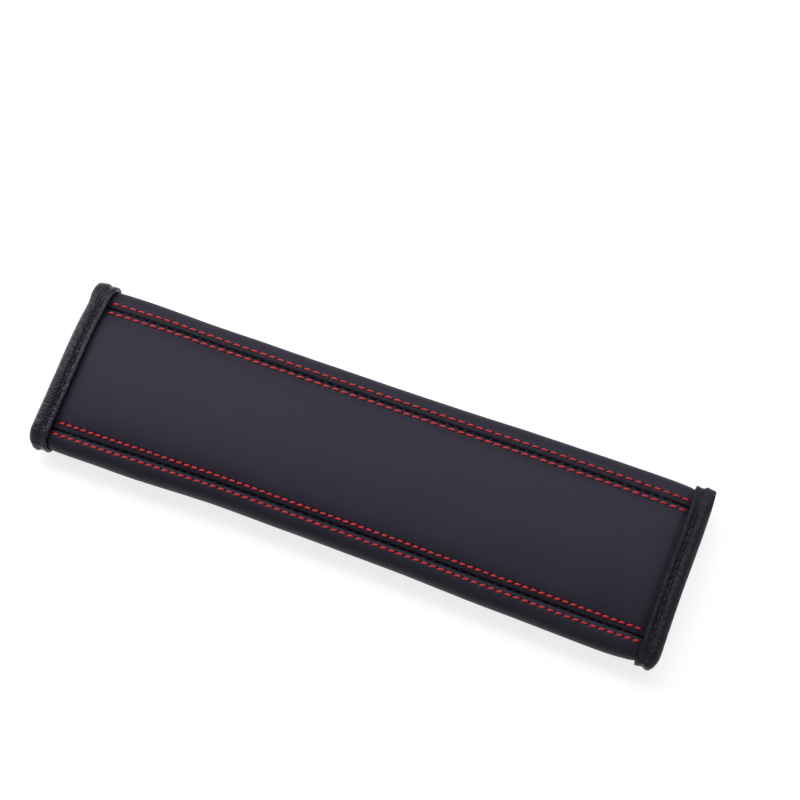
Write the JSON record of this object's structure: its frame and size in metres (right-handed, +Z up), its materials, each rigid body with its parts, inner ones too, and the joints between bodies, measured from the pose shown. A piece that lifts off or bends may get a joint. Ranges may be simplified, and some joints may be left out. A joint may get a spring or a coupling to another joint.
{
  "type": "seat belt shoulder pad",
  "caption": "Padded leather sleeve that closes round a car's shoulder belt, with red topstitching along both sides and bound ends.",
  "frame": {"origin": "on the surface that the closed sleeve lies on, under the middle of its box", "axes": "+X along the belt and the sleeve's length, +Y across it to the far long side, +Z up out of the padded face"},
  "size_m": [0.23, 0.0638, 0.0198],
  "materials": {
    "leather": "smooth matte black",
    "binding": "creased satin black tape",
    "foam": "open sponge",
    "lining": "fine knitted cloth",
    "tape": "hook and loop pile",
    "red_thread": "twisted polyester",
    "black_thread": "twisted polyester"
  },
  "bodies": {
    "root": {"centre_panel": "leather", "far_side_panel": "leather", "near_side_panel": "leather", "foam_padding": "foam", "lining": "lining", "hook_tape": "tape", "loop_tape": "tape", "left_end_binding": "binding", "right_end_binding": "binding", "far_outer_topstitch": "red_thread", "far_inner_topstitch": "red_thread", "near_inner_topstitch": "red_thread", "near_outer_topstitch": "red_thread", "far_seam_thread": "black_thread", "near_seam_thread": "black_thread", "left_binding_stitch": "black_thread", "right_binding_stitch": "black_thread", "hook_stitch_near": "black_thread", "hook_stitch_far": "black_thread", "loop_stitch_near": "black_thread", "loop_stitch_far": "black_thread"}
  },
  "joints": []
}
